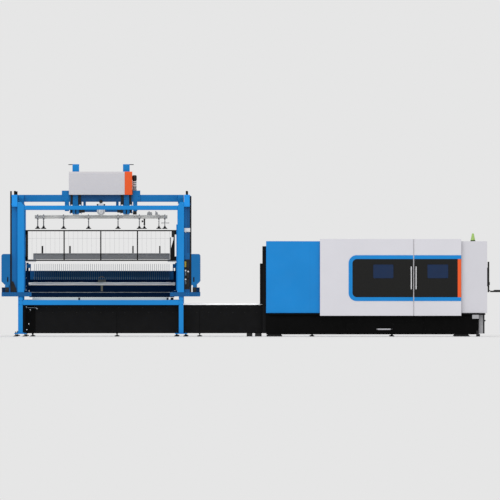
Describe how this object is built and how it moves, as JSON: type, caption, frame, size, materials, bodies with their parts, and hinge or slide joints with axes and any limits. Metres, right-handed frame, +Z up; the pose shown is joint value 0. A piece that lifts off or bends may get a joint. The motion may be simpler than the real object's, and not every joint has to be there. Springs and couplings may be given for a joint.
{
  "type": "fiber laser cutting machine",
  "caption": "Fiber laser cutting cell: enclosed cutting cabin with sliding doors, shuttle table with two slatted pallets, and a two-bay sheet-handling tower with suction hoist and comb rake.",
  "frame": {"origin": "bottom centre of the whole object's bounding box, on the floor", "axes": "+X along the machine from the tower to the operator panel, -Y towards the operator, +Z up"},
  "size_m": [12.114, 4.82, 4.14],
  "materials": {
    "blue_paint": "semi-gloss",
    "deep_blue_paint": "semi-gloss",
    "navy_paint": "satin",
    "grey_white_paint": "satin",
    "orange_paint": "satin",
    "black_paint": "fine texture",
    "grey_paint": "satin",
    "steel": "ground",
    "plate_steel": "rolled",
    "anodised": "anodised",
    "motor_grey": "painted",
    "black_plastic": "matte",
    "black_rubber": "matte",
    "black_panel": "gloss",
    "laser_glass": "tinted",
    "beacon_green": "translucent"
  },
  "bodies": {
    "frame": {"front_portal": "blue_paint", "rear_portal": "blue_paint", "left_side_frame": "deep_blue_paint", "right_side_frame": "deep_blue_paint", "tower_rails": "steel", "cable_ducts": "black_plastic", "drive_housings": "deep_blue_paint", "cassette": "grey_paint", "shuttle_base": "black_paint", "pallet_rails": "steel", "machine_base": "black_paint", "left_module": "blue_paint", "main_cabin": "grey_white_paint", "right_cabinet": "grey_white_paint", "entry_frame": "black_paint", "signal_beacon": "beacon_green", "service_column": "grey_paint", "operator_panel": "grey_paint", "gantry_beam": "grey_paint", "levelling_feet": "black_plastic"},
    "gate": {"gate_frame": "black_paint", "gate_mesh": "black_paint"},
    "rake_carriage": {"rake_carriage": "navy_paint", "rake_gearmotor": "motor_grey"},
    "rake_shaft": {"rake_shaft": "steel"},
    "comb": {"comb_beam": "navy_paint", "comb_tines": "plate_steel"},
    "bridge": {"bridge_girders": "deep_blue_paint", "hoist_frame": "blue_paint", "mast_guides": "black_plastic", "hoist_cover": "grey_white_paint", "hoist_end_cover": "orange_paint", "bridge_motors": "motor_grey"},
    "outer_mast": {"outer_masts": "blue_paint"},
    "suction_frame": {"inner_masts": "plate_steel", "suction_bar": "anodised", "suction_fittings": "steel", "suction_cups": "black_rubber"},
    "pallet_a": {"pallet_a_frame": "grey_paint", "pallet_a_slats": "plate_steel"},
    "pallet_b": {"pallet_b_frame": "grey_paint", "pallet_b_slats": "plate_steel"},
    "shutter": {"entry_shutter": "black_paint"},
    "door_left": {"door_left_panel": "grey_white_paint", "door_left_insert": "black_panel", "door_left_window": "laser_glass", "door_left_trim": "blue_paint", "door_left_handle": "steel"},
    "door_right": {"door_right_panel": "grey_white_paint", "door_right_insert": "black_panel", "door_right_window": "laser_glass", "door_right_trim": "blue_paint", "door_right_strip": "orange_paint", "door_right_handle": "steel"},
    "gantry": {"gantry_arm": "grey_paint"},
    "carriage": {"y_carriage": "anodised"},
    "head": {"cutting_head": "anodised"},
    "drawer": {"scrap_drawer": "black_paint"},
    "tray": {"keyboard_tray": "grey_paint"}
  },
  "joints": [
    {"name": "bridge_travel", "type": "slide", "parent": "frame", "child": "bridge", "axis": [0, 1, 0], "range_m": [0, 2.13]},
    {"name": "hoist_lift", "type": "slide", "parent": "bridge", "child": "outer_mast", "axis": [0, 0, 1], "range_m": [-0.8, 0]},
    {"name": "hoist_extend", "type": "slide", "parent": "outer_mast", "child": "suction_frame", "axis": [0, 0, 1], "range_m": [-0.8, 0]},
    {"name": "rake_travel", "type": "slide", "parent": "frame", "child": "rake_carriage", "axis": [0, -1, 0], "range_m": [0, 1.8]},
    {"name": "rake_lift", "type": "slide", "parent": "rake_carriage", "child": "comb", "axis": [0, 0, 1], "range_m": [-0.485, 0]},
    {"name": "rake_shaft_turn", "type": "hinge", "parent": "rake_carriage", "child": "rake_shaft", "pos_m": [-3.672, 2.054, 1.258], "axis": [1, 0, 0], "range_deg": [-560, 0]},
    {"name": "gate_lift", "type": "slide", "parent": "frame", "child": "gate", "axis": [0, 0, 1], "range_m": [-0.7, 0]},
    {"name": "pallet_a_travel", "type": "slide", "parent": "frame", "child": "pallet_a", "axis": [1, 0, 0], "range_m": [0, 6.172]},
    {"name": "pallet_b_travel", "type": "slide", "parent": "frame", "child": "pallet_b", "axis": [1, 0, 0], "range_m": [-6.172, 0]},
    {"name": "shutter_lift", "type": "slide", "parent": "frame", "child": "shutter", "axis": [0, 0, 1], "range_m": [-0.255, 0]},
    {"name": "door_left_slide", "type": "slide", "parent": "frame", "child": "door_left", "axis": [1, 0, 0], "range_m": [-1.2, 0]},
    {"name": "door_right_slide", "type": "slide", "parent": "frame", "child": "door_right", "axis": [1, 0, 0], "range_m": [0, 0.6]},
    {"name": "gantry_travel", "type": "slide", "parent": "frame", "child": "gantry", "axis": [1, 0, 0], "range_m": [0, 3.05]},
    {"name": "carriage_travel", "type": "slide", "parent": "gantry", "child": "carriage", "axis": [0, 1, 0], "range_m": [-0.75, 0.75]},
    {"name": "head_lift", "type": "slide", "parent": "carriage", "child": "head", "axis": [0, 0, 1], "range_m": [-0.13, 0]},
    {"name": "drawer_pull", "type": "slide", "parent": "frame", "child": "drawer", "axis": [0, -1, 0], "range_m": [0, 1.2]},
    {"name": "tray_fold", "type": "hinge", "parent": "frame", "child": "tray", "pos_m": [5.668, -1.8, 1.099], "axis": [0, -1, 0], "range_deg": [0, 75]}
  ],
  "couplings": [
    {"joint": "hoist_extend", "follows": "hoist_lift", "ratio": 1},
    {"joint": "rake_shaft_turn", "follows": "rake_lift", "rad_per_m": 20},
    {"joint": "pallet_b_travel", "follows": "pallet_a_travel", "ratio": -1}
  ]
}
